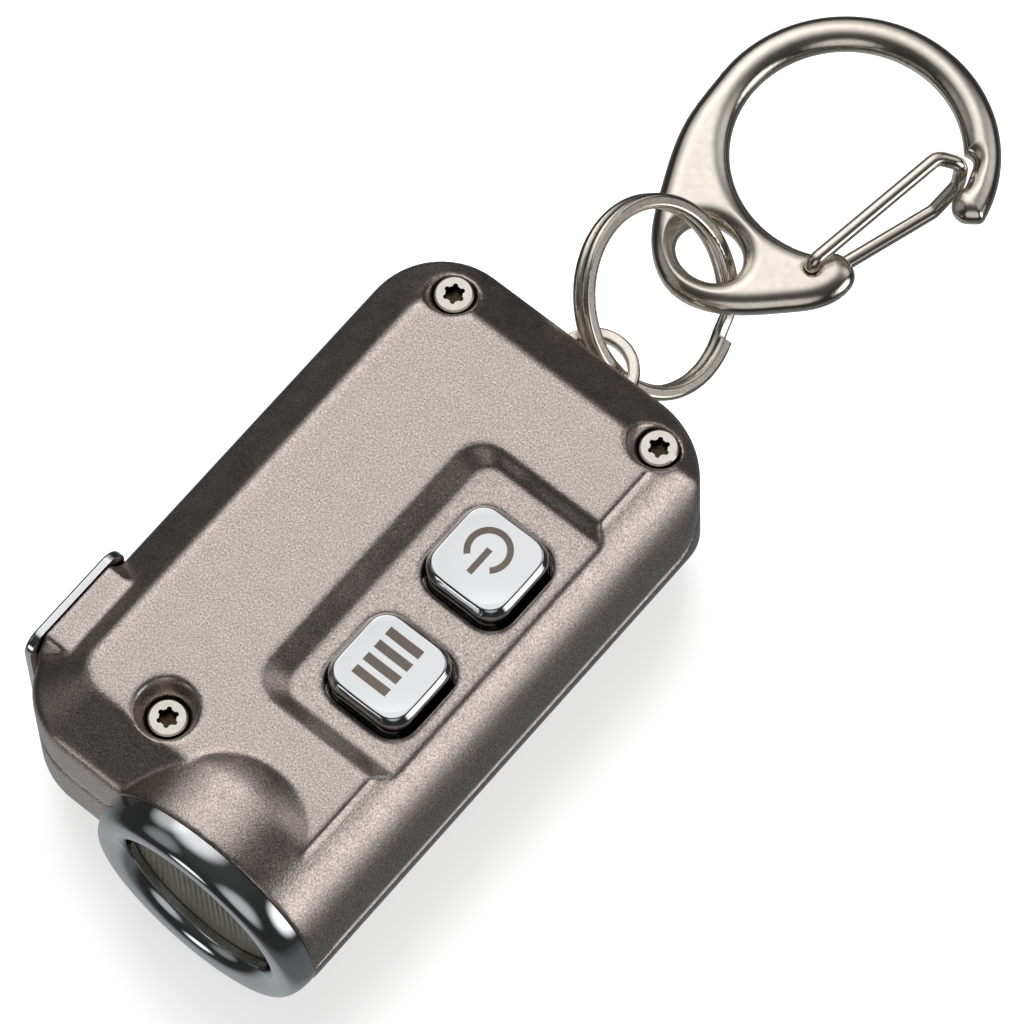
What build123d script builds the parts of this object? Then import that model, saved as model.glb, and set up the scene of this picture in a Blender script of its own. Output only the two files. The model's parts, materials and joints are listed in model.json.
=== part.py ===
"""Keychain flashlight: two die-cast case halves around a cell, a driver board and a
side-mounted lamp, with two push buttons, a charging port, an eyelet, a split ring and a clasp.

Frame: +Z out of the front (button) face, +Y towards the eyelet, +X towards the lamp side.
The origin is the middle of the flat back face. Millimetres throughout.
"""
from build123d import *
import math
import os

os.makedirs("parts", exist_ok=True)

# ---------------------------------------------------------------- driving dimensions
# Case
half_thickness = 6.6          # seam plane to either flat face
seam_z = half_thickness       # height of the seam plane above the back face
case_left, case_right = -12.0, 12.12
case_low, case_high = -18.5, 20.65
corner_radii = (5.0, 2.0, 6.3, 5.0)       # low-left, low-right, high-right, high-left
wall_height = 4.05            # straight side wall, measured from the seam
bevel_left, bevel_right, bevel_low, bevel_high = 3.3, 0.6, 3.4, 3.6
face_radii = (2.0, 1.5, 4.5, 2.2)
crease_x = 8.85               # where the flat face meets the round lamp side
wall = 1.3
cavity_height = 4.95          # inside height of each half, from the seam
rim_fillet, face_fillet = 1.0, 1.2
seam_gap = 0.15               # half of the gasket's thickness

# Lamp barrel
lamp_x = 4.28
barrel_r = 7.84
barrel_shoulder_y = -15.3
barrel_foot_y = -11.7
bore_r = 6.1
bore_end_y = -9.2
spigot_bore_r = 6.95
spigot_end_y = -16.1

# Button recess
recess_floor = 5.8            # above the seam
recess_left, recess_low, recess_high = 0.85, -8.0, 10.6
recess_open_x = 13.0          # the panel has no edge on the lamp side
slope_left, slope_low, slope_high = 1.4, 1.2, 0.85   # widths of the panel's sloping sides
button_x = 5.35
power_y, mode_y = 5.35, -3.41
button_w, button_h = 5.95, 5.95
button_corner = 1.5
button_gap = 0.25
button_top = 7.25             # above the seam
flange_h = 7.3

# Screws
screw_spots = ((-7.7, 17.8), (8.0, 17.8), (-3.1, -13.4))
screw_head_r, screw_shank_r = 1.18, 0.78
screw_head_low, screw_head_high = 4.5, 5.3
screw_tip = -3.2
socket_r, socket_lobe_r, socket_depth = 0.52, 0.16, 0.65
boss_r = 2.0

# Charging port
port_y = -11.25
port_w, port_h = 7.0, 2.0
lug_top = 5.5
lug_half_length = 3.75
frame_x_out = -12.6

# Eyelet
eyelet_x, eyelet_y = 0.3, 20.95
eyelet_r, eyelet_hole_r = 2.8, 2.05
eyelet_half = 0.4

# Split ring
ring_centre = (-0.2, 27.5, seam_z - 1.0)
ring_normal = (0.706, 0.193, 0.682)
ring_r = 5.775                # to the middle of the wire
ring_wire_w, ring_wire_t = 0.95, 0.64
ring_layer = 0.34             # each coil's middle, above or below the ring's plane
ring_end_angle = 100.0
ring_jog = 26.0

# Clasp
clasp_origin = (0.21, -0.11, seam_z - 2.7)   # the clasp's outline is drawn from here
clasp_half = 0.95
hook_centre = (1.95, 42.85)
hook_r_out, hook_r_in = 9.38, 7.1
link_hole = (-0.25, 32.4)
link_hole_rx, link_hole_ry = 2.2, 1.8
gate_pivot = (5.3, 35.35)
gate_wire_r = 0.45
gate_pin_clearance = 0.05


def at(height):
    """Plane parallel to the faces, at a height above the seam."""
    return Plane.XY.offset(seam_z + height)


def across(y):
    """Plane square to the lamp's axis; its local X is +X and its local Y is +Z."""
    return Plane(origin=(lamp_x, y, seam_z), x_dir=(1, 0, 0), z_dir=(0, -1, 0))


def lamp_profile_plane():
    """Plane through the lamp's axis: local X is the radius, local Y runs along +Y."""
    return Plane(origin=(lamp_x, 0, seam_z), x_dir=(1, 0, 0), z_dir=(0, 0, 1))


lamp_axis = Axis((lamp_x, 0, seam_z), (0, 1, 0))


def rounded(left, right, low, high, radii):
    """Rectangle with its own radius at each corner: low-left, low-right, high-right, high-left."""
    corners = ((left, low), (right, low), (right, high), (left, high))
    with BuildSketch(mode=Mode.PRIVATE) as plan:
        with Locations(((left + right) / 2, (low + high) / 2)):
            Rectangle(right - left, high - low)
        for (x, y), radius in zip(corners, radii):
            fillet(plan.vertices().sort_by_distance((x, y, 0))[0], radius)
    return plan.sketch


def save(part, name):
    part.label = name
    export_step(part, f"parts/{name}.step")
    print(name, round(part.volume, 3), len(part.solids()), part.is_valid, flush=True)


# ---------------------------------------------------------------- shared case forms
case_outline = rounded(case_left, case_right, case_low, case_high, corner_radii)
face_outline = rounded(case_left + bevel_left, case_right - bevel_right,
                       case_low + bevel_low, case_high - bevel_high, face_radii)

with BuildPart(mode=Mode.PRIVATE) as lamp_side:
    with BuildSketch(at(0)):
        with Locations((crease_x - 15, 1)):
            Rectangle(30, 60)
    extrude(amount=half_thickness)
    with BuildSketch(across(31)):
        Circle(barrel_r)
    extrude(amount=60)

with BuildPart(mode=Mode.PRIVATE) as barrel_form:
    with BuildSketch(lamp_profile_plane()):
        with BuildLine():
            end_face = Line((0, case_low), (barrel_r, case_low))
            side = Line(end_face @ 1, (barrel_r, barrel_shoulder_y))
            nose = Spline(side @ 1, (7.3, -13.35), (5.9, barrel_foot_y),
                          tangents=((0, 1), (-0.9, 0.5)))
            foot = Line(nose @ 1, (0, barrel_foot_y))
            Line(foot @ 1, end_face @ 0)
        make_face()
    revolve(axis=lamp_axis)
    split(bisect_by=at(0), keep=Keep.TOP)

# One half of the closed case, as a solid block above the seam
with BuildPart(mode=Mode.PRIVATE) as case_half:
    with BuildSketch(at(0)):
        add(case_outline)
    extrude(amount=wall_height)
    with BuildSketch(at(wall_height)):
        add(case_outline)
    with BuildSketch(at(half_thickness)):
        add(face_outline)
    loft(ruled=True)
    wall_rim = case_half.edges().filter_by_position(Axis.Z, seam_z + wall_height - 0.01,
                                                    seam_z + wall_height + 0.01)
    fillet(wall_rim, rim_fillet)
    face_rim = case_half.edges().filter_by_position(Axis.Z, seam_z + half_thickness - 0.01,
                                                    seam_z + half_thickness + 0.01)
    fillet(face_rim, face_fillet)
    add(lamp_side.part, mode=Mode.INTERSECT)
    add(barrel_form.part)
    # Lug that carries the charging port
    with BuildSketch(Plane(origin=(case_left - 0.02, port_y, seam_z), x_dir=(0, 1, 0), z_dir=(1, 0, 0))):
        with BuildLine():
            Polyline((-lug_half_length, 0), (-lug_half_length, lug_top - 1.5),
                     (-lug_half_length + 0.9, lug_top), (lug_half_length - 0.9, lug_top),
                     (lug_half_length, lug_top - 1.5), (lug_half_length, 0), close=True)
        make_face()
    extrude(amount=3.6)

# What is hollow inside one half, above the seam
with BuildPart(mode=Mode.PRIVATE) as hollow_limit:
    with BuildSketch(at(0)):
        with Locations((8.0 - 15, 1)):
            Rectangle(30, 60)
    extrude(amount=half_thickness)
    with BuildSketch(across(31)):
        Circle(barrel_r - wall)
    extrude(amount=60)

inside = rounded(case_left + wall, case_right - wall, case_low + wall + 0.3, case_high - wall,
                 tuple(max(radius - wall, 1.6) for radius in corner_radii))
with BuildPart(mode=Mode.PRIVATE) as hollow:
    with BuildSketch(at(0)):
        add(inside)
    extrude(amount=cavity_height)
    chamfer(hollow.faces().sort_by(Axis.Z)[-1].edges(), 1.0)
    add(hollow_limit.part, mode=Mode.INTERSECT)
    # Solid metal stays around the lamp bore and the screws
    with BuildSketch(across(bore_end_y - 0.01)):
        Circle(barrel_r + 0.5)
    extrude(amount=20, mode=Mode.SUBTRACT)
    with BuildSketch(at(0)):
        with Locations(*screw_spots):
            Circle(boss_r)
    extrude(amount=cavity_height, mode=Mode.SUBTRACT)

with BuildPart(mode=Mode.PRIVATE) as lamp_bore:
    with BuildSketch(across(bore_end_y)):
        Circle(bore_r)
    extrude(amount=bore_end_y - case_low + 1)
    with BuildSketch(across(spigot_end_y)):
        Circle(spigot_bore_r)
    extrude(amount=spigot_end_y - case_low + 1)

receptacle_w, receptacle_h, receptacle_depth = 7.5, 2.7, 5.4
receptacle_front = case_left + 0.1
with BuildPart(mode=Mode.PRIVATE) as port_hole:
    with BuildSketch(Plane(origin=(case_left - 1, port_y, seam_z), x_dir=(0, 1, 0), z_dir=(1, 0, 0))):
        RectangleRounded(receptacle_w - 0.3, receptacle_h + 0.1, 1.0)
    extrude(amount=3)
    with BuildSketch(Plane(origin=(receptacle_front, port_y, seam_z), x_dir=(0, 1, 0), z_dir=(1, 0, 0))):
        RectangleRounded(receptacle_w + 0.1, receptacle_h + 0.1, 0.6)
    extrude(amount=receptacle_depth)

with BuildPart(mode=Mode.PRIVATE) as eyelet_slot:
    with BuildSketch(at(-eyelet_half - 0.03)):
        with Locations((eyelet_x, 19.6)):
            Rectangle(2 * eyelet_r + 0.1, 3.4)
    extrude(amount=2 * eyelet_half + 0.06)


def shell_block():
    """Hollow half of the case above the seam, with the lamp bore, port and eyelet slot cut."""
    with BuildPart(mode=Mode.PRIVATE) as block:
        add(case_half.part)
        add(hollow.part, mode=Mode.SUBTRACT)
        add(lamp_bore.part, mode=Mode.SUBTRACT)
        add(port_hole.part, mode=Mode.SUBTRACT)
        add(eyelet_slot.part, mode=Mode.SUBTRACT)
        with BuildSketch(at(0)):
            Rectangle(80, 80)
        extrude(amount=seam_gap, mode=Mode.SUBTRACT)
    return block.part


plain_half = shell_block()

# ---------------------------------------------------------------- front shell
with BuildPart() as front_shell:
    add(plain_half)
    # Sunken panel around the buttons, open onto the round lamp side
    with BuildSketch(at(recess_floor)):
        add(rounded(recess_left, recess_open_x, recess_low, recess_high, (1.2, 0.5, 0.5, 1.2)))
    with BuildSketch(at(recess_floor + 1.2)):
        spread = 1.2 / (half_thickness - recess_floor)
        add(rounded(recess_left - slope_left * spread, recess_open_x + 1,
                    recess_low - slope_low * spread, recess_high + slope_high * spread,
                    (2.6, 0.5, 0.5, 2.4)))
    loft(ruled=True, mode=Mode.SUBTRACT)
    # Button holes
    with BuildSketch(at(cavity_height - 1)):
        with Locations((button_x, power_y), (button_x, mode_y)):
            RectangleRounded(button_w + 2 * button_gap, button_h + 2 * button_gap,
                             button_corner + button_gap)
    extrude(amount=4, mode=Mode.SUBTRACT)
    # Room under the panel for the buttons' flanges
    with BuildSketch(at(cavity_height - 1.2)):
        with Locations((button_x, power_y), (button_x, mode_y)):
            Rectangle(button_w + 2 * button_gap, flange_h + 0.3)
    extrude(amount=1.2, mode=Mode.SUBTRACT)
    # Screw holes and their flared pockets
    with BuildSketch(at(0)):
        with Locations(*screw_spots):
            Circle(screw_shank_r + 0.07)
    extrude(amount=half_thickness + 1, mode=Mode.SUBTRACT)
    with BuildSketch(at(screw_head_low)):
        with Locations(*screw_spots):
            Circle(screw_head_r + 0.1)
    extrude(amount=3, mode=Mode.SUBTRACT)
    for x, y in screw_spots:
        with BuildSketch(at(screw_head_high - 0.35)):
            with Locations((x, y)):
                Circle(screw_head_r + 0.12)
        with BuildSketch(at(half_thickness + 0.4)):
            with Locations((x, y)):
                Circle(2.1)
        loft(ruled=True, mode=Mode.SUBTRACT)
save(front_shell.part, "front_shell")

# ---------------------------------------------------------------- rear shell
with BuildPart() as rear_shell:
    add(mirror(plain_half, about=at(0)))
    with BuildSketch(at(0)):
        with Locations(*screw_spots):
            Circle(screw_shank_r + 0.02)
    extrude(amount=screw_tip - 0.4, mode=Mode.SUBTRACT)
save(rear_shell.part, "rear_shell")

# ---------------------------------------------------------------- seam gasket
with BuildPart() as seam_gasket:
    gasket_inset = 0.12
    with BuildSketch(at(-seam_gap)):
        add(rounded(case_left + gasket_inset, case_right - gasket_inset, case_low + gasket_inset,
                    case_high - gasket_inset, corner_radii))
        add(rounded(case_left + wall, case_right - wall, case_low + wall + 0.3, case_high - wall,
                    (3.7, 1.6, 5.4, 3.7)), mode=Mode.SUBTRACT)
        with Locations((lamp_x, -13.1)):
            Rectangle(2 * spigot_bore_r, 11.4, mode=Mode.SUBTRACT)
        with Locations((case_left, port_y)):
            Rectangle(4, receptacle_w + 0.2, mode=Mode.SUBTRACT)
        with Locations((eyelet_x, case_high)):
            Rectangle(2 * eyelet_r + 0.2, 5, mode=Mode.SUBTRACT)
    extrude(amount=2 * seam_gap)
save(seam_gasket.part, "seam_gasket")

# ---------------------------------------------------------------- lamp
bezel_r, bezel_mouth_r, bezel_spigot_r = 7.78, 5.45, 6.9
with BuildPart() as bezel:
    with BuildSketch(lamp_profile_plane()):
        with BuildLine():
            Polyline((bezel_spigot_r, case_low), (bezel_spigot_r, spigot_end_y - 0.1), (6.15, spigot_end_y - 0.1),
                     (6.15, -18.85), (bezel_mouth_r, -18.85), (bezel_mouth_r, -19.35))
            dish = Spline((bezel_mouth_r, -19.35), (6.0, -20.0), (6.75, -20.4),
                          tangents=((0.6, -0.8), (1, -0.3)))
            lip = Spline(dish @ 1, (7.45, -20.15), (bezel_r, -19.5), tangents=((1, -0.2), (0, 1)))
            Line(lip @ 1, (bezel_r, case_low))
            Line((bezel_r, case_low), (bezel_spigot_r, case_low))
        make_face()
    revolve(axis=lamp_axis)
save(bezel.part, "bezel")

optic_r, optic_face_r = 6.0, 5.3
with BuildPart() as optic:
    with BuildSketch(lamp_profile_plane()):
        with BuildLine():
            Polyline((0, -19.1), (optic_face_r, -19.1), (optic_face_r, -18.4), (optic_r, -18.4),
                     (optic_r, -17.4), (5.45, -17.4))
            cone = Spline((5.45, -17.4), (4.7, -14.4), (2.7, -12.3), tangents=((0, 1), (-0.8, 0.6)))
            Polyline(cone @ 1, (1.8, -12.3), (1.8, -14.6), (0, -15.1), (0, -19.1))
        make_face()
    revolve(axis=lamp_axis)
save(optic.part, "optic")

with BuildPart() as optic_holder:
    with BuildSketch(lamp_profile_plane()):
        with BuildLine():
            Polyline((6.05, -17.38), (6.05, -11.57), (3.0, -11.57), (3.0, -12.2), (5.5, -12.2),
                     (5.5, -17.38), close=True)
        make_face()
    revolve(axis=lamp_axis)
save(optic_holder.part, "optic_holder")

with BuildPart() as lens_seal:
    with BuildSketch(lamp_profile_plane()):
        with Locations((5.88, -18.625)):
            Circle(0.215)
    revolve(axis=lamp_axis)
save(lens_seal.part, "lens_seal")

led_board_y = -10.75           # back of the round board
with BuildPart() as led_board:
    with BuildSketch(across(led_board_y)):
        Circle(bore_r - 0.1)
    extrude(amount=0.8)
    with BuildSketch(across(led_board_y)):
        with Locations((-3.4, -4.2), (3.4, -4.2)):
            Circle(0.55, mode=Mode.ADD)
    extrude(amount=0.8, mode=Mode.SUBTRACT)
save(led_board.part, "led_board")

with BuildPart() as led_emitter:
    with BuildSketch(across(led_board_y - 0.8)):
        RectangleRounded(3.4, 3.4, 0.15)
    extrude(amount=0.7)
save(led_emitter.part, "led_emitter")

with BuildPart() as led_dome:
    with BuildSketch(lamp_profile_plane()):
        with BuildLine():
            base_y = led_board_y - 1.5
            rim = Line((0, base_y), (1.3, base_y))
            cap = CenterArc((0, base_y), 1.3, 270, 90)
            Line(cap @ 0, rim @ 0)
        make_face()
    revolve(axis=lamp_axis)
save(led_dome.part, "led_dome")

with BuildPart() as heat_spreader:
    with BuildSketch(across(bore_end_y - 0.05)):
        Circle(bore_r - 0.05)
    extrude(amount=led_board_y * -1 + bore_end_y - 0.05)
    with BuildSketch(across(bore_end_y - 0.05)):
        with Locations((0, -5.3)):
            Rectangle(6.0, 2.4)
    extrude(amount=3, mode=Mode.SUBTRACT)
save(heat_spreader.part, "heat_spreader")


# ---------------------------------------------------------------- buttons
plunger_low, plunger_high = 1.9, 3.1
plunger_r = 0.82


def button(y):
    """Chrome cap with a bevelled top, a retaining flange and a stem."""
    with BuildPart(mode=Mode.PRIVATE) as cap:
        with BuildSketch(at(4.4)):
            with Locations((button_x, y)):
                Rectangle(button_w, flange_h)
        extrude(amount=0.5)
        with BuildSketch(at(4.9)):
            with Locations((button_x, y)):
                RectangleRounded(button_w, button_h, button_corner)
        extrude(amount=button_top - 4.9)
        chamfer(cap.faces().sort_by(Axis.Z)[-1].edges(), 0.42, 0.3)
        fillet(cap.faces().sort_by(Axis.Z)[-1].edges(), 0.12)
        with BuildSketch(at(plunger_high)):
            with Locations((button_x, y)):
                Circle(1.3)
        extrude(amount=4.4 - plunger_high)
    return cap.part


def switch_plunger(y):
    with BuildPart(mode=Mode.PRIVATE) as plunger:
        with BuildSketch(at(plunger_low)):
            with Locations((button_x, y)):
                Circle(plunger_r)
        extrude(amount=plunger_high - plunger_low)
    return plunger.part


def tact_switch(y):
    with BuildPart(mode=Mode.PRIVATE) as switch:
        with BuildSketch(at(1.15)):
            with Locations((button_x, y)):
                RectangleRounded(4.2, 4.2, 0.3)
        extrude(amount=1.5)
        with BuildSketch(at(1.45)):
            with Locations((button_x, y)):
                Circle(plunger_r + 0.05)
        extrude(amount=2, mode=Mode.SUBTRACT)
    return switch.part


for name, y in (("power", power_y), ("mode", mode_y)):
    save(button(y), f"{name}_button")
    save(switch_plunger(y), f"{name}_switch_plunger")
    save(tact_switch(y), f"{name}_switch")

with BuildPart() as button_seal:
    with BuildSketch(at(3.55)):
        add(rounded(1.0, 8.3, -7.2, 10.0, (0.5, 0.5, 0.5, 0.5)))
        with Locations((button_x, power_y), (button_x, mode_y)):
            Circle(1.36, mode=Mode.SUBTRACT)
    extrude(amount=0.4)
    with BuildSketch(at(3.95)):
        with Locations((1.45, 1.4)):
            Rectangle(0.9, 17.2)
        with Locations((button_x, 9.7)):
            Rectangle(5.0, 0.6)
    extrude(amount=cavity_height - 3.95)
save(button_seal.part, "button_seal")

# ---------------------------------------------------------------- electronics
board_low, board_high = 0.35, 1.15
with BuildPart() as main_board:
    with BuildSketch(at(board_low)):
        add(rounded(-10.1, 9.2, -7.2, 15.3, (0.8, 0.8, 0.8, 0.8)))
        add(rounded(-6.4, -5.25, -15.0, -6.9, (0.3, 0.3, 0.3, 0.3)))
        with Locations((-10.1, port_y)):
            Rectangle(7.3, receptacle_w + 0.3, mode=Mode.SUBTRACT)
    extrude(amount=board_high - board_low)
save(main_board.part, "main_board")

with BuildPart() as controller_chip:
    with BuildSketch(at(board_high)):
        with Locations((-4.2, 3.6)):
            Rectangle(3.0, 3.0)
    extrude(amount=0.8)
save(controller_chip.part, "controller_chip")

with BuildPart() as driver_inductor:
    with BuildSketch(at(board_high)):
        with Locations((-4.4, 9.2)):
            RectangleRounded(4.0, 4.0, 0.5)
    extrude(amount=1.8)
save(driver_inductor.part, "driver_inductor")

with BuildPart() as board_capacitors:
    with BuildSketch(at(board_high)):
        with Locations((-8.4, 2.0), (-8.4, 4.2), (-8.4, 6.4)):
            Rectangle(1.6, 0.8)
        with Locations((-0.9, 1.0), (-0.9, 3.2), (-0.9, 5.4), (-0.9, 11.6), (1.6, 12.6)):
            Rectangle(0.8, 1.4)
        with Locations((-6.2, -2.6), (-3.6, -2.6), (-1.0, -2.6)):
            Rectangle(1.6, 0.8)
    extrude(amount=0.7)
save(board_capacitors.part, "board_capacitors")

with BuildPart() as charge_indicator:
    with BuildSketch(at(board_high)):
        with Locations((-8.6, -4.6)):
            Rectangle(1.6, 0.8)
    extrude(amount=0.6)
save(charge_indicator.part, "charge_indicator")

with BuildPart() as battery:
    with BuildSketch(at(-4.8)):
        add(rounded(-9.5, 7.9, -6.3, 14.6, (0.6, 0.6, 0.6, 0.6)))
    extrude(amount=4.6)
    fillet(battery.edges().filter_by(Axis.Y), 1.2)
save(battery.part, "battery")

with BuildPart() as foam_pad:
    with BuildSketch(at(-0.2)):
        add(rounded(-7.5, 6.0, -4.5, 12.5, (1, 1, 1, 1)))
    extrude(amount=board_low + 0.2)
save(foam_pad.part, "foam_pad")


def lead(points, bend, radius):
    """Short insulated wire along straight runs joined by arcs."""
    with BuildPart(mode=Mode.PRIVATE) as wire:
        with BuildLine() as route:
            FilletPolyline(*points, radius=bend)
        with BuildSketch(Plane(origin=route.line @ 0, z_dir=route.line % 0)):
            Circle(radius)
        sweep(path=route.line)
    return wire.part


for name, x in (("battery_lead_red", -2.6), ("battery_lead_black", -5.2)):
    save(lead(((x, 14.6, seam_z - 2.4), (x, 16.5, seam_z - 2.4), (x, 16.5, seam_z + 1.5),
               (x, 13.6, seam_z + 1.5)), 0.9, 0.35), name)
for name, x in (("lamp_lead_red", lamp_x - 1.5), ("lamp_lead_black", lamp_x + 1.5)):
    save(lead(((x, led_board_y, seam_z - 4.6), (x, -6.84, seam_z - 4.6),
               (x, -6.84, seam_z + board_low)), 0.8, 0.3), name)

# ---------------------------------------------------------------- charging port


def side(x):
    """Plane square to X; its local X is +Y and its local Y is +Z."""
    return Plane(origin=(x, port_y, seam_z), x_dir=(0, 1, 0), z_dir=(1, 0, 0))


with BuildPart() as usb_receptacle:
    with BuildSketch(side(receptacle_front)):
        RectangleRounded(receptacle_w, receptacle_h, 0.55)
    extrude(amount=receptacle_depth - 0.05)
    with BuildSketch(side(receptacle_front)):
        RectangleRounded(receptacle_w - 0.6, receptacle_h - 0.6, 0.35)
    extrude(amount=receptacle_depth - 0.4, mode=Mode.SUBTRACT)
save(usb_receptacle.part, "usb_receptacle")

with BuildPart() as usb_tongue:
    with BuildSketch(side(receptacle_front + 0.9)):
        with Locations((0, 0.35)):
            Rectangle(3.8, 0.6)
    extrude(amount=receptacle_depth - 1.3)
save(usb_tongue.part, "usb_tongue")

with BuildPart() as port_frame:
    with BuildSketch(side(frame_x_out)):
        RectangleRounded(8.3, 2 * lug_top, 1.3)
    extrude(amount=case_left - 0.03 - frame_x_out)
    fillet(port_frame.faces().sort_by(Axis.X)[0].edges(), 0.22)
    with BuildSketch(side(frame_x_out - 1)):
        RectangleRounded(port_w, port_h, 0.5)
    extrude(amount=3, mode=Mode.SUBTRACT)
save(port_frame.part, "port_frame")

# ---------------------------------------------------------------- fasteners
with BuildPart() as case_screws:
    for x, y in screw_spots:
        with BuildSketch(at(screw_head_low)):
            with Locations((x, y)):
                Circle(screw_head_r)
        extrude(amount=screw_head_high - screw_head_low)
        with BuildSketch(at(screw_tip)):
            with Locations((x, y)):
                Circle(screw_shank_r)
        extrude(amount=screw_head_low - screw_tip)
    head_rims = case_screws.faces().filter_by(Axis.Z).group_by(Axis.Z)[-1].edges()
    chamfer(head_rims, 0.1)
    for x, y in screw_spots:
        with BuildSketch(at(screw_head_high)):
            with Locations((x, y)):
                Circle(socket_r)
                with PolarLocations(socket_r, 6):
                    Circle(socket_lobe_r)
        extrude(amount=-socket_depth, mode=Mode.SUBTRACT)
save(case_screws.part, "case_screws")

# ---------------------------------------------------------------- eyelet
with BuildPart() as eyelet:
    with BuildSketch(at(-eyelet_half)):
        with Locations((eyelet_x, eyelet_y)):
            Circle(eyelet_r)
        with Locations((eyelet_x, 19.45)):
            Rectangle(2 * eyelet_r, 3.0)
        with Locations((eyelet_x, 18.4)):
            Rectangle(2 * eyelet_r + 2.4, 1.4)
        with Locations((eyelet_x, eyelet_y)):
            Circle(eyelet_hole_r, mode=Mode.SUBTRACT)
        with Locations((eyelet_x, case_high - 1.5)):
            Rectangle(2 * eyelet_r - 0.2, 3.0)
    extrude(amount=2 * eyelet_half)
    loop_rims = [edge for edge in eyelet.edges().filter_by(GeomType.CIRCLE)
                 if edge.center().Y > case_high]
    fillet(loop_rims, 0.2)
save(eyelet.part, "eyelet")

# ---------------------------------------------------------------- split ring
ring_axis_vector = Vector(ring_normal).normalized()
ring_plane = Plane(origin=ring_centre, x_dir=ring_axis_vector.cross(Vector(0, 0, 1)),
                   z_dir=ring_axis_vector)
ring_axis = Axis(ring_centre, ring_axis_vector)


def wire_plane(angle, height):
    """Plane square to the ring's wire at an angle round it, height off the ring's own plane."""
    turn = math.radians(angle)
    origin = ring_plane.from_local_coords((ring_r * math.cos(turn), ring_r * math.sin(turn), height))
    outward = ring_plane.x_dir * math.cos(turn) + ring_plane.y_dir * math.sin(turn)
    return Plane(origin=origin, x_dir=outward, z_dir=ring_axis_vector.cross(outward))


coil_sweep = 360 - ring_jog - 3
with BuildPart() as split_ring:
    for start, height in ((ring_end_angle + ring_jog + 3, -ring_layer),
                          (ring_end_angle + ring_jog, ring_layer)):
        with BuildSketch(wire_plane(start, height)):
            RectangleRounded(ring_wire_w, ring_wire_t, 0.28)
        revolve(axis=ring_axis, revolution_arc=coil_sweep)
    jog_steps = 6
    for step in range(jog_steps + 1):
        along = step / jog_steps
        rise = -ring_layer * math.cos(math.pi * along)
        with BuildSketch(wire_plane(ring_end_angle + ring_jog * along, rise)):
            RectangleRounded(ring_wire_w, ring_wire_t, 0.28)
    loft()
save(split_ring.part, "split_ring")

# ---------------------------------------------------------------- clasp
clasp_plane = Plane(origin=clasp_origin)
tip_angle = 12.0
with BuildPart() as clasp_hook:
    with BuildSketch(clasp_plane):
        with BuildLine():
            back = CenterArc(hook_centre, hook_r_out, tip_angle, 172)
            inner = CenterArc(hook_centre, hook_r_in, 283.4, -262)
            Spline(back @ 1, (-7.05, 38.5), (-5.3, 33.9), (-3.4, 30.7), (-0.5, 29.0),
                   (2.6, 29.75), (5.65, 32.3), (7.6, 35.0), (7.35, 36.95), (5.9, 37.35),
                   inner @ 0, tangents=(back % 1, inner % 0))
            Spline(inner @ 1, (8.8, 44.6), (9.3, 43.9), (10.15, 43.75), (10.85, 44.2), back @ 0,
                   tangents=(inner % 1, back % 0))
        make_face()
    extrude(amount=clasp_half, both=True)
    fillet(clasp_hook.faces().filter_by(Axis.Z).edges(), 0.7)
    # Hole that the split ring runs through, rounded at both faces
    with BuildSketch(clasp_plane):
        with Locations(link_hole):
            Ellipse(link_hole_rx, link_hole_ry)
    extrude(amount=clasp_half, both=True, mode=Mode.SUBTRACT)
    hole_rims = [edge for edge in clasp_hook.faces().filter_by(Axis.Z).edges()
                 if edge.geom_type == GeomType.ELLIPSE]
    fillet(hole_rims, 0.6)
    # Bore for the gate's two end pins
    with BuildSketch(clasp_plane):
        with Locations(gate_pivot):
            Circle(gate_wire_r + gate_pin_clearance)
    extrude(amount=clasp_half, both=True, mode=Mode.SUBTRACT)
    # Notch inside the tip, where the closed gate rests
    with BuildSketch(clasp_plane):
        with Locations((8.05, 46.2)):
            SlotOverall(2.5, 1.25, rotation=-70)
    extrude(amount=clasp_half, both=True, mode=Mode.SUBTRACT)
save(clasp_hook.part, "clasp_hook")

with BuildPart() as clasp_gate:
    arm = clasp_half + gate_wire_r + 0.1
    pin_end = 0.25
    with BuildLine(clasp_plane) as gate_route:
        FilletPolyline((*gate_pivot, pin_end), (*gate_pivot, arm), (6.75, 45.6, arm),
                       (7.95, 46.5, 0.75), (8.2, 45.85, -0.8), (7.95, 43.8, -arm),
                       (*gate_pivot, -arm), (*gate_pivot, -pin_end),
                       radius=(0.5, 0.9, 0.8, 0.8, 0.9, 0.5))
    with BuildSketch(Plane(origin=gate_route.line @ 0, z_dir=gate_route.line % 0)):
        Circle(gate_wire_r)
    sweep(path=gate_route.line)
save(clasp_gate.part, "clasp_gate")
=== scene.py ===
"""Looks for the keychain flashlight: case halves and clasp with rounded edges, dished buttons with
printed icons, a turned bezel, a moulded optic, metal finishes, a table, soft studio light and the camera.

Lengths are metres in the object's own frame, and MM turns millimetres into metres."""
import json
import math

import bmesh
import bpy
from mathutils import Matrix, Vector
from mathutils.kdtree import KDTree


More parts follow.
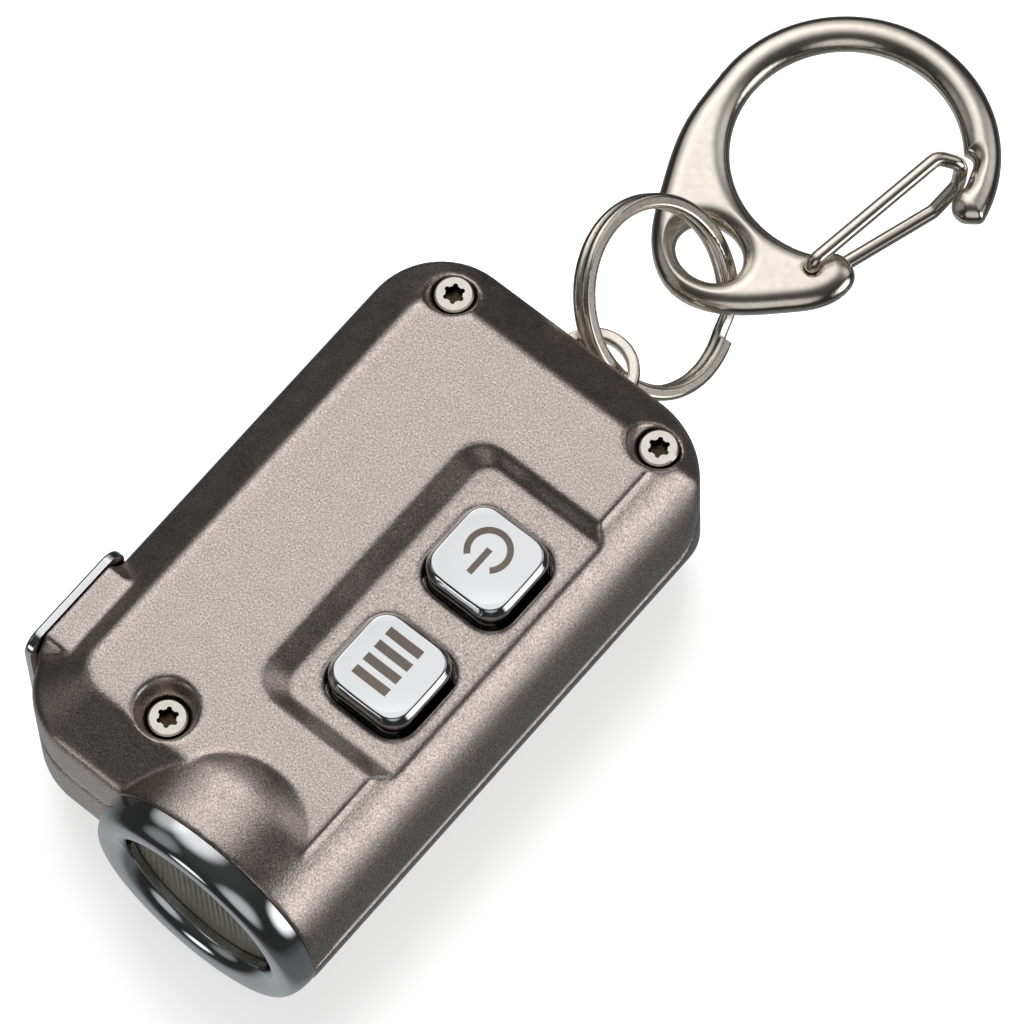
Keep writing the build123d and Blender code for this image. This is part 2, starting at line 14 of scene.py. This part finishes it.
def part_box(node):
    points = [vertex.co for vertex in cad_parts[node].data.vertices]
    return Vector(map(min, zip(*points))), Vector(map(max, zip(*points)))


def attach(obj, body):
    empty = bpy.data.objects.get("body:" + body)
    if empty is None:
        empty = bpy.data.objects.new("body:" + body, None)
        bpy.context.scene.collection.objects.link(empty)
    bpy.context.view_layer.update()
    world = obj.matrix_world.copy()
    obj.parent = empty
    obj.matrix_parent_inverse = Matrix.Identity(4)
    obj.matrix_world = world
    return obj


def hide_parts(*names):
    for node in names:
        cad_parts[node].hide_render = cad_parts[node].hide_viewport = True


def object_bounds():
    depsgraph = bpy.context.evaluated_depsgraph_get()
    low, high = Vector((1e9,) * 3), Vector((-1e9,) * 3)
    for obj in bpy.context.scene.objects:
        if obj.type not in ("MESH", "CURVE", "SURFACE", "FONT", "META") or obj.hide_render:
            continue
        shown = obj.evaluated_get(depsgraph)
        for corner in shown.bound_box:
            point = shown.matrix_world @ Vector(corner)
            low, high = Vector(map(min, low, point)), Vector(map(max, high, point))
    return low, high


MM = 0.001

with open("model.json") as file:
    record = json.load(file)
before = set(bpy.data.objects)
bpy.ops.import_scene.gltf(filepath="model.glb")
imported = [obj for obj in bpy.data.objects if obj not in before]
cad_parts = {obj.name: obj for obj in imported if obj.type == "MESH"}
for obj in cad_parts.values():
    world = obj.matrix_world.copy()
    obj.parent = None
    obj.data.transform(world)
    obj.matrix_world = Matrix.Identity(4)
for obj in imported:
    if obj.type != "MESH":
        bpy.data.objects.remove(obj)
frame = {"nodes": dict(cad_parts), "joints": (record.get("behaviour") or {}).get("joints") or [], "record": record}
nodes = frame["nodes"]
cad_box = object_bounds()


# ---------------------------------------------------------------- material helpers
def new_material(name, color, metallic, roughness):
    """A Principled material, its node tree and its shader."""
    material = bpy.data.materials.new(name)
    material.use_nodes = True
    shader = material.node_tree.nodes["Principled BSDF"]
    shader.inputs["Base Color"].default_value = (*color, 1)
    shader.inputs["Metallic"].default_value = metallic
    shader.inputs["Roughness"].default_value = roughness
    return material, material.node_tree, shader


def grain(tree, size, detail, stretch=(1, 1, 1)):
    """Noise fixed to the object, whose blobs are about this size in millimetres."""
    place = tree.nodes.new("ShaderNodeTexCoord")
    scaled = tree.nodes.new("ShaderNodeMapping")
    scaled.inputs["Scale"].default_value = stretch
    noise = tree.nodes.new("ShaderNodeTexNoise")
    noise.inputs["Scale"].default_value = 1 / (size * MM)
    noise.inputs["Detail"].default_value = detail
    tree.links.new(place.outputs["Object"], scaled.inputs["Vector"])
    tree.links.new(scaled.outputs["Vector"], noise.inputs["Vector"])
    return noise.outputs["Fac"]


def ramp(tree, value, stops, socket):
    """Colour ramp from a value into a socket; each stop is a position and a colour or a grey."""
    node = tree.nodes.new("ShaderNodeValToRGB")
    elements = node.color_ramp.elements
    while len(elements) < len(stops):
        elements.new(0.5)
    for element, (position, color) in zip(elements, stops):
        element.position = position
        element.color = (*color, 1) if isinstance(color, tuple) else (color, color, color, 1)
    tree.links.new(value, node.inputs["Fac"])
    tree.links.new(node.outputs["Color"], socket)


def bump(tree, height, shader, depth):
    """Bump of this depth in millimetres into the shader's normal."""
    node = tree.nodes.new("ShaderNodeBump")
    node.inputs["Strength"].default_value = 1
    node.inputs["Distance"].default_value = depth * MM
    tree.links.new(height, node.inputs["Height"])
    tree.links.new(node.outputs["Normal"], shader.inputs["Normal"])


def shade(color, factor):
    """The colour made darker or lighter."""
    return tuple(min(1.0, channel * factor) for channel in color)


# ---------------------------------------------------------------- materials
def case_material():
    """Bead-blasted, anodised warm grey metal with a fine light and dark speckle."""
    color = (0.50, 0.437, 0.403)
    material, tree, shader = new_material("case_anodised", color, metallic=1.0, roughness=0.33)
    speckle = [(0.33, shade(color, 0.6)), (0.47, color), (0.55, shade(color, 1.1)), (0.68, shade(color, 1.6))]
    ramp(tree, grain(tree, size=0.11, detail=3), speckle, shader.inputs["Base Color"])
    ramp(tree, grain(tree, size=1.2, detail=4), [(0.3, 0.30), (0.7, 0.36)], shader.inputs["Roughness"])
    bump(tree, grain(tree, size=0.12, detail=2), shader, depth=0.014)
    return material


def chrome_material():
    """Bright plated metal with faint handling marks."""
    roughness = 0.07
    material, tree, shader = new_material("chrome", (0.64, 0.65, 0.66), metallic=1.0, roughness=roughness)
    marks = [(0.35, roughness * 0.7), (0.7, roughness * 1.5)]
    ramp(tree, grain(tree, size=1.5, detail=5), marks, shader.inputs["Roughness"])
    bump(tree, grain(tree, size=0.9, detail=2), shader, depth=0.002)
    return material


def nickel_material():
    """Warm nickel plating: satin on faces that look up or down, polished round the edges."""
    color = (0.84, 0.78, 0.69)
    material, tree, shader = new_material("nickel", color, metallic=1.0, roughness=0.2)
    geometry = tree.nodes.new("ShaderNodeNewGeometry")
    split = tree.nodes.new("ShaderNodeSeparateXYZ")
    flat = tree.nodes.new("ShaderNodeMath")
    flat.operation = "ABSOLUTE"
    tree.links.new(geometry.outputs["Normal"], split.inputs["Vector"])
    tree.links.new(split.outputs["Z"], flat.inputs[0])
    ramp(tree, flat.outputs[0], [(0.80, 0.12), (0.97, 0.30)], shader.inputs["Roughness"])
    tarnish = [(0.3, shade(color, 0.92)), (0.7, shade(color, 1.05))]
    ramp(tree, grain(tree, size=0.5, detail=4), tarnish, shader.inputs["Base Color"])
    bump(tree, grain(tree, size=0.12, detail=2, stretch=(1, 6, 1)), shader, depth=0.002)
    return material


def screw_material():
    """Nickel screw heads whose sockets are darkened inside with painted shade."""
    color = (0.66, 0.63, 0.58)
    socket_depth = 0.5 * MM
    material, tree, shader = new_material("screw_nickel", color, metallic=1.0, roughness=0.3)
    face_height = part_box("case_screws")[1].z
    place = tree.nodes.new("ShaderNodeTexCoord")
    split = tree.nodes.new("ShaderNodeSeparateXYZ")
    rise = tree.nodes.new("ShaderNodeMapRange")
    rise.inputs["From Min"].default_value = face_height - socket_depth
    rise.inputs["From Max"].default_value = face_height
    tree.links.new(place.outputs["Object"], split.inputs["Vector"])
    tree.links.new(split.outputs["Z"], rise.inputs["Value"])
    # Painted shade: the colour darkens from the screw's face down to the socket's floor, where shade would fall
    painted_socket_shade = [(0.0, (0.05, 0.035, 0.025)), (0.5, (0.20, 0.16, 0.12)), (0.8, color)]
    ramp(tree, rise.outputs["Result"], painted_socket_shade, shader.inputs["Base Color"])
    ramp(tree, grain(tree, size=0.6, detail=4), [(0.3, 0.24), (0.7, 0.36)], shader.inputs["Roughness"])
    bump(tree, grain(tree, size=0.25, detail=2), shader, depth=0.003)
    return material


def clear_material(name, color, roughness, transmission):
    """Moulded acrylic or silicone with a faint mottle."""
    material, tree, shader = new_material(name, color, metallic=0.0, roughness=roughness)
    shader.inputs["IOR"].default_value = 1.49
    shader.inputs["Transmission Weight"].default_value = transmission
    mottle = [(0.3, shade(color, 0.85)), (0.7, color)]
    ramp(tree, grain(tree, size=0.6, detail=3), mottle, shader.inputs["Base Color"])
    return material


def grained_material(name, color, metallic, roughness, size, depth):
    """Moulded, machined or printed part with a fine grain."""
    material, tree, shader = new_material(name, color, metallic, roughness)
    value = grain(tree, size, detail=4)
    ramp(tree, value, [(0.3, shade(color, 0.82)), (0.7, shade(color, 1.12))], shader.inputs["Base Color"])
    bump(tree, value, shader, depth)
    return material


materials = {
    "case": case_material(),
    "chrome": chrome_material(),
    "nickel": nickel_material(),
    "screw": screw_material(),
    "optic": clear_material("optic_clear", (0.13, 0.125, 0.092), roughness=0.22, transmission=0.0),
    "led_dome": clear_material("phosphor_dome", (0.90, 0.78, 0.25), roughness=0.2, transmission=0.2),
    "icon": grained_material("icon_print", (0.20, 0.165, 0.135), metallic=0.4, roughness=0.45, size=0.15,
                             depth=0.002),
}
# slot: colour, metallic, roughness, grain size and bump depth in millimetres
grained = {
    # The gasket's pale colour is a painted highlight, so that the seam between the shells reads as a bright line
    "gasket": ((0.80, 0.79, 0.76), 0.0, 0.4, 0.3, 0.006),
    "silicone": ((0.03, 0.03, 0.032), 0.0, 0.6, 0.3, 0.01),
    "holder": ((0.80, 0.80, 0.76), 0.0, 0.35, 0.3, 0.005),
    "plate_metal": ((0.60, 0.60, 0.62), 1.0, 0.3, 0.2, 0.004),
    "circuit": ((0.01, 0.08, 0.03), 0.0, 0.35, 0.6, 0.006),
    "led_ceramic": ((0.85, 0.84, 0.78), 0.0, 0.4, 0.15, 0.003),
    "component": ((0.02, 0.02, 0.022), 0.0, 0.5, 0.1, 0.006),
    "ceramic": ((0.35, 0.26, 0.15), 0.0, 0.4, 0.1, 0.003),
    "pouch": ((0.55, 0.56, 0.58), 1.0, 0.35, 1.0, 0.03),
    "foam": ((0.03, 0.03, 0.03), 0.0, 0.95, 0.3, 0.08),
    "wire_red": ((0.45, 0.01, 0.01), 0.0, 0.45, 0.2, 0.004),
    "wire_black": ((0.012, 0.012, 0.012), 0.0, 0.45, 0.2, 0.004),
    "plug_steel": ((0.60, 0.60, 0.61), 1.0, 0.25, 0.3, 0.003),
    "black_plastic": ((0.015, 0.015, 0.015), 0.0, 0.4, 0.2, 0.004),
    "plunger": ((0.72, 0.70, 0.64), 0.0, 0.45, 0.2, 0.004),
}
for slot_name, finish in grained.items():
    materials[slot_name] = grained_material(slot_name, *finish)

slot_of = {part["node"]: part["material_slot"] for part in frame["record"]["subparts"]}
for name, node in nodes.items():
    node.data.materials.clear()
    node.data.materials.append(materials[slot_of[name]])


# ---------------------------------------------------------------- piece helpers
def add_piece(name, mesh, slot_name, body, *replaced, material=None):
    """Links a mesh as a piece that rides on a body and takes a slot's finish."""
    piece = bpy.data.objects.new(name, mesh)
    bpy.context.scene.collection.objects.link(piece)
    mesh.materials.clear()
    mesh.materials.append(materials[material or slot_name])
    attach(piece, body)
    if replaced:
        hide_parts(*replaced)


def finished_mesh(shape, name, smooth=True):
    """Mesh of a bmesh, with its faces turned outwards."""
    bmesh.ops.recalc_face_normals(shape, faces=shape.faces)
    mesh = bpy.data.meshes.new(name)
    shape.to_mesh(mesh)
    shape.free()
    for polygon in mesh.polygons:
        polygon.use_smooth = smooth
    return mesh


def softened(node_name, voxel, rounds, keep=1.0):
    """Copy of a node's mesh, remeshed and smoothed so that its edges and valleys are rounded.

    The voxel is in millimetres, and keep is the share of the faces that stays."""
    weld_distance = 0.0005 * MM
    mesh = nodes[node_name].data.copy()
    shape = bmesh.new()
    shape.from_mesh(mesh)
    bmesh.ops.remove_doubles(shape, verts=shape.verts, dist=weld_distance)
    shape.to_mesh(mesh)
    shape.free()
    source = bpy.data.objects.new(node_name + "_source", mesh)
    bpy.context.scene.collection.objects.link(source)
    remesh = source.modifiers.new("remesh", "REMESH")
    remesh.mode = "VOXEL"
    remesh.voxel_size = voxel * MM
    smooth = source.modifiers.new("smooth", "SMOOTH")
    smooth.iterations = rounds
    fewer = source.modifiers.new("fewer", "DECIMATE")
    fewer.ratio = keep
    bpy.context.view_layer.update()
    result = bpy.data.meshes.new_from_object(source.evaluated_get(bpy.context.evaluated_depsgraph_get()))
    bpy.data.objects.remove(source)
    for polygon in result.polygons:
        polygon.use_smooth = True
    return result


def add_ring(shape, axis, radius, y, steps, relief=None):
    """Ring of vertices about an axis along Y, which relief moves in y by their offset in x and z."""
    ring = []
    for step in range(steps):
        turn = 2 * math.pi * step / steps
        x, z = radius * math.cos(turn), radius * math.sin(turn)
        rise = relief(x, z) if relief else 0
        ring.append(shape.verts.new((axis.x + x, y + rise, axis.z + z)))
    return ring


def bridge(shape, ring, next_ring):
    """Faces from one ring of vertices to the next."""
    for step in range(len(ring)):
        following = (step + 1) % len(ring)
        shape.faces.new((ring[step], next_ring[step], next_ring[following], ring[following]))


# ---------------------------------------------------------------- case and clasp
for shell in ("front_shell", "rear_shell"):
    add_piece(shell + "_cast", softened(shell, voxel=0.13, rounds=24, keep=0.35), "case", "light", shell)


def rounded_plate(mesh, radius, pivot, clear):
    """Rounds a flat plate's section towards its outline, as far in as the radius.

    The outline is where the plate's walls stand upright at mid height. The small hole at the pivot keeps
    square edges: walls nearer to it than clear don't count."""
    heights = [vertex.co.z for vertex in mesh.vertices]
    middle = (min(heights) + max(heights)) / 2
    half = (max(heights) - min(heights)) / 2
    mid_band, upright = 0.15 * half, 0.5
    rim = [vertex.co for vertex in mesh.vertices
           if abs(vertex.co.z - middle) < mid_band and abs(vertex.normal.z) < upright
           and math.hypot(vertex.co.x - pivot[0], vertex.co.y - pivot[1]) > clear]
    tree = KDTree(len(rim))
    for index, spot in enumerate(rim):
        tree.insert((spot.x, spot.y, 0), index)
    tree.balance()
    for vertex in mesh.vertices:
        reach = min(1.0, tree.find((vertex.co.x, vertex.co.y, 0))[2] / radius)
        limit = half * math.sqrt(1 - (1 - reach) ** 2)
        rise = vertex.co.z - middle
        vertex.co.z = middle + max(-limit, min(limit, rise))
    return mesh


gate_pivot = next(joint["pos_m"] for joint in frame["joints"] if joint["name"] == "gate_swing")
clasp_mesh = rounded_plate(softened("clasp_hook", voxel=0.09, rounds=12), radius=1.25 * MM,
                           pivot=gate_pivot, clear=0.9 * MM)
add_piece("clasp_cast", clasp_mesh, "nickel", "clasp", "clasp_hook")

# ---------------------------------------------------------------- buttons and their icons
dish_depth, dish_reach = 0.15 * MM, 2.9 * MM
icon_lift, icon_root = 0.014 * MM, 0.03 * MM


def button_top(button_name):
    """Middle of a button's top face."""
    low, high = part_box(button_name)
    return Vector(((low.x + high.x) / 2, (low.y + high.y) / 2, high.z))


def dished(top, x, y):
    """Height of a button's slightly dished top at x, y."""
    reach = ((x - top.x) ** 2 + (y - top.y) ** 2) / dish_reach ** 2
    return top.z - dish_depth * max(0.0, 1 - reach)


def dished_mesh(button_name):
    """Copy of a button whose top is dished, with small rounds on its edges."""
    top = button_top(button_name)
    cap_height = 0.5 * MM
    mesh = softened(button_name, voxel=0.08, rounds=5)
    for vertex in mesh.vertices:
        if vertex.co.z > top.z - cap_height:
            vertex.co.z += dished(top, vertex.co.x, vertex.co.y) - top.z
    return mesh


def icon_mesh(name, strips, top):
    """Thin print on a dished button: each strip is a pair of rails of x, y points."""
    shape = bmesh.new()
    for rails in strips:
        rows = [[shape.verts.new((x, y, dished(top, x, y) - icon_root)) for x, y in rail] for rail in rails]
        faces = [shape.faces.new((rows[0][i], rows[0][i + 1], rows[1][i + 1], rows[1][i]))
                 for i in range(len(rows[0]) - 1)]
        raised = bmesh.ops.extrude_face_region(shape, geom=faces)
        lifted = [part for part in raised["geom"] if isinstance(part, bmesh.types.BMVert)]
        bmesh.ops.translate(shape, verts=lifted, vec=(0, 0, icon_root + icon_lift))
    return finished_mesh(shape, name, smooth=False)


def bar(centre, length, width, along_y=False, steps=8):
    """Rails of a straight bar about a centre."""
    rails = []
    for edge in (-width / 2, width / 2):
        spots = [(length * (i / steps - 0.5), edge) for i in range(steps + 1)]
        rails.append([(centre.x + (v if along_y else u), centre.y + (u if along_y else v)) for u, v in spots])
    return rails


def arc(centre, radius, width, gap_degrees, steps=48):
    """Rails of an open ring whose gap faces -Y."""
    start = math.radians(-90 + gap_degrees / 2)
    sweep = math.radians(360 - gap_degrees)
    turns = [start + sweep * i / steps for i in range(steps + 1)]
    return [[(centre.x + rim * math.cos(turn), centre.y + rim * math.sin(turn)) for turn in turns]
            for rim in (radius - width / 2, radius + width / 2)]


for button_name, key in (("power_button", "power_key"), ("mode_button", "mode_key")):
    add_piece(button_name + "_dished", dished_mesh(button_name), "chrome", key, button_name)

# Each print sits a little off the middle of its button
stroke, ring_radius, gap_degrees = 0.40 * MM, 1.27 * MM, 84
stem_length, stem_drop = 1.9 * MM, 0.85 * MM
power_top = button_top("power_button")
power_centre = power_top + Vector((-0.3, 0.5, 0)) * MM
stem_centre = power_centre - Vector((0, stem_drop, 0))
power_strips = [arc(power_centre, ring_radius, stroke, gap_degrees),
                bar(stem_centre, stem_length, stroke, along_y=True)]
add_piece("power_icon", icon_mesh("power_icon", power_strips, power_top), "chrome", "power_key",
          material="icon")

bar_count, bar_pitch, bar_length, bar_width = 4, 1.0 * MM, 2.5 * MM, 0.58 * MM
mode_top = button_top("mode_button")
mode_centre = mode_top + Vector((-0.3, 0.2, 0)) * MM
bar_heights = [(index - (bar_count - 1) / 2) * bar_pitch for index in range(bar_count)]
mode_strips = [bar(mode_centre + Vector((0, height, 0)), bar_length, bar_width) for height in bar_heights]
add_piece("mode_icon", icon_mesh("mode_icon", mode_strips, mode_top), "chrome", "mode_key", material="icon")


# ---------------------------------------------------------------- bezel
def bezel_mesh():
    """Turned bezel: a round lip that rolls over into a dished mouth, and a plain spigot behind."""
    low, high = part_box("bezel")
    axis = (low + high) / 2
    outer_r = (high.x - low.x) / 2
    crest_r, mouth_r, bore_r, spigot_r = 6.75 * MM, 5.45 * MM, 6.15 * MM, 6.9 * MM
    mouth_depth, mouth_wall = 1.05 * MM, 1.55 * MM
    lip_power = 0.9  # 1 is a quarter of an ellipse, and less is squarer
    flange_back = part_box("rear_shell")[0].y
    lip_depth = flange_back - low.y
    arc_steps, steps = 16, 256
    turns = [math.pi / 2 * i / arc_steps for i in range(arc_steps + 1)]
    lip = [(crest_r + (outer_r - crest_r) * math.cos(turn) ** lip_power,
            flange_back - lip_depth * math.sin(turn) ** lip_power) for turn in turns]
    mouth = [(crest_r - (crest_r - mouth_r) * math.sin(turn), low.y + mouth_depth * (1 - math.cos(turn)))
             for turn in turns[1:]]
    spigot = [(mouth_r, low.y + mouth_wall), (bore_r, low.y + mouth_wall), (bore_r, high.y),
              (spigot_r, high.y), (spigot_r, flange_back)]
    shape = bmesh.new()
    rings = [add_ring(shape, axis, radius, y, steps) for radius, y in lip + mouth + spigot]
    for ring, next_ring in zip(rings, rings[1:] + rings[:1]):
        bridge(shape, ring, next_ring)
    mesh = finished_mesh(shape, "bezel_turned")
    mesh.set_sharp_from_angle(angle=math.radians(40))
    return mesh


add_piece("bezel_turned", bezel_mesh(), "chrome", "light", "bezel")


# ---------------------------------------------------------------- optic
def optic_mesh():
    """Moulded optic: a face of small square lenslets, a rim, and a cone that narrows to the lamp."""
    low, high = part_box("optic")
    axis = (low + high) / 2
    pitch, bulge, fade_width = 0.42 * MM, 0.10 * MM, 0.5 * MM
    face_radius, rows, steps = 5.28 * MM, 78, 300
    lamp_hollow = 4.0 * MM

    def lenslets(x, z):
        """How far the face dips at x, z between the crowns of the lenslets."""
        lens = math.cos(math.pi * x / pitch) ** 2 * math.cos(math.pi * z / pitch) ** 2
        fade = min(1.0, (face_radius - math.hypot(x, z)) / fade_width)
        return bulge * (1 - lens * fade)

    # Behind the face: radius and distance back from it, in millimetres
    profile = ((5.3, 0.7), (6.0, 0.7), (6.0, 1.7), (5.45, 1.72), (5.3, 2.9), (4.9, 4.3), (4.2, 5.6),
               (3.3, 6.5), (2.7, 6.78), (1.82, 6.78), (1.8, 4.5), (0.9, 4.15))
    shape = bmesh.new()
    rings = [add_ring(shape, axis, face_radius * row / rows, low.y, steps, lenslets)
             for row in range(1, rows + 1)]
    rings += [add_ring(shape, axis, radius * MM, low.y + back * MM, steps) for radius, back in profile]
    middle = shape.verts.new((axis.x, low.y, axis.z))
    rear = shape.verts.new((axis.x, low.y + lamp_hollow, axis.z))
    for ring, next_ring in zip(rings, rings[1:]):
        bridge(shape, ring, next_ring)
    for step in range(steps):
        following = (step + 1) % steps
        shape.faces.new((middle, rings[0][step], rings[0][following]))
        shape.faces.new((rear, rings[-1][following], rings[-1][step]))
    return finished_mesh(shape, "optic_moulded")


add_piece("optic_moulded", optic_mesh(), "optic", "light", "optic")


# ---------------------------------------------------------------- stage
def make_floor():
    """Pale table that ends where the case ends, so that the ring and the clasp hang free over its edge,
    and a floor below it, out of their reach."""
    low, high = cad_box
    gap_below, slab_depth, half_size = 0.3 * MM, 1 * MM, 2.0
    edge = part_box("rear_shell")[1].y
    table_top = low[2] - gap_below
    ground = table_top - (high[1] - edge)
    material, tree, shader = new_material("floor_pale", (0.86, 0.86, 0.86), metallic=0.0, roughness=0.9)
    shader.inputs["Emission Color"].default_value = (1, 1, 1, 1)
    shader.inputs["Emission Strength"].default_value = 0.62
    spans = {
        "table": ((-half_size, -half_size, ground), (half_size, edge, table_top)),
        "floor": ((-half_size, -half_size, ground - slab_depth), (half_size, half_size, ground)),
    }
    for name, (corner, far_corner) in spans.items():
        middle = [(near + far) / 2 for near, far in zip(corner, far_corner)]
        bpy.ops.mesh.primitive_cube_add(size=1, location=middle)
        slab = bpy.context.object
        slab.name = name
        slab.scale = [far - near for near, far in zip(corner, far_corner)]
        slab.data.materials.append(material)
        slab.visible_glossy = False
        slab.visible_shadow = False


def make_world(ground_to_sky, glows):
    """Studio of soft glows on a dark ground, pale grey below."""
    world = bpy.data.worlds.new("studio")
    bpy.context.scene.world = world
    world.use_nodes = True
    tree = world.node_tree
    place = tree.nodes.new("ShaderNodeTexCoord")
    split = tree.nodes.new("ShaderNodeSeparateXYZ")
    rise = tree.nodes.new("ShaderNodeMapRange")
    rise.inputs["From Min"].default_value = -1
    tree.links.new(place.outputs["Generated"], split.inputs["Vector"])
    tree.links.new(split.outputs["Z"], rise.inputs["Value"])
    total = tree.nodes.new("ShaderNodeVectorMath")
    ramp(tree, rise.outputs["Result"], ground_to_sky, total.inputs[0])
    for direction, core, edge, strength in glows:
        facing = tree.nodes.new("ShaderNodeVectorMath")
        facing.operation = "DOT_PRODUCT"
        facing.inputs[1].default_value = Vector(direction).normalized()
        tree.links.new(place.outputs["Generated"], facing.inputs[0])
        fade = tree.nodes.new("ShaderNodeMapRange")
        fade.interpolation_type = "SMOOTHSTEP"
        fade.inputs["From Min"].default_value = math.cos(math.radians(edge))
        fade.inputs["From Max"].default_value = math.cos(math.radians(core))
        fade.inputs["To Max"].default_value = strength
        tree.links.new(facing.outputs["Value"], fade.inputs["Value"])
        tree.links.new(fade.outputs["Result"], total.inputs[1])
        following = tree.nodes.new("ShaderNodeVectorMath")
        tree.links.new(total.outputs["Vector"], following.inputs[0])
        total = following
    tree.links.new(total.outputs["Vector"], tree.nodes["Background"].inputs["Color"])


def add_soft_box(name, direction, distance, width, height, power):
    """Soft box that looks at the middle of the object from a direction, and that no reflection shows."""
    low, high = cad_box
    middle = Vector(((low[0] + high[0]) / 2, (low[1] + high[1]) / 2, 0))
    lamp = bpy.data.lights.new(name, "AREA")
    lamp.shape = "RECTANGLE"
    lamp.size, lamp.size_y = width, height
    lamp.energy = power
    holder = bpy.data.objects.new(name, lamp)
    bpy.context.scene.collection.objects.link(holder)
    holder.location = middle + Vector(direction).normalized() * distance
    holder.rotation_euler = Vector(direction).to_track_quat("Z", "Y").to_euler()
    holder.visible_glossy = False


def make_camera():
    """Long lens that looks down on the front of the case, a little from the lamp end and from +X."""
    right = Vector((0.7671, 0.6412, -0.0219))
    up = Vector((-0.5808, 0.7085, 0.4009))
    back = Vector((0.2725, -0.2948, 0.9159))
    distance, shift_right, shift_up, middle_height = 461.66 * MM, 8.8275 * MM, 6.2822 * MM, 6.6 * MM
    place = Vector((0, 0, middle_height)) + right * shift_right + up * shift_up + back * distance
    camera = bpy.data.objects.new("camera", bpy.data.cameras.new("camera"))
    camera.data.lens = 275.9
    camera.data.clip_start = 0.01
    rotation = Matrix((right, up, back)).transposed().to_4x4()
    camera.matrix_world = Matrix.Translation(place) @ rotation
    bpy.context.scene.collection.objects.link(camera)
    bpy.context.scene.camera = camera


# The studio's own light, from straight below (0) to straight above (1): a colour or a grey
ground_to_sky = [(0.0, (0.15, 0.165, 0.17)), (0.24, (0.13, 0.14, 0.145)), (0.37, 0.035), (0.60, 0.03),
                 (0.80, 0.04), (1.0, 0.06)]
# Soft glows in the studio: direction, core and edge as angles in degrees, strength
glows = {
    "overhead": ((-0.33, 0.28, 0.90), 3, 34, 1.15),
    "upper_left": ((-0.76, 0.29, 0.58), 3, 26, 0.7),
    "side": ((0.94, 0.29, 0.16), 3, 24, 1.9),
    "front": ((-0.25, -0.95, 0.06), 3, 13, 1.7),
    "table": ((-0.27, -0.40, -0.87), 15, 50, 0.26),
    "far_right": ((0.58, -0.64, 0.50), 5, 28, 0.6),
    "far_back": ((0.35, 0.75, 0.56), 5, 28, 0.6),
    "high_left": ((-0.55, 0.62, 0.56), 5, 28, 0.6),
    "far_left": ((-0.72, -0.48, 0.52), 5, 24, 0.25),
}
make_floor()
make_world(ground_to_sky, glows.values())
add_soft_box("overhead", (-0.27, 0.29, 0.92), distance=0.9, width=0.52, height=0.42, power=3.2)
make_camera()
bpy.context.scene.view_settings.view_transform = "Standard"
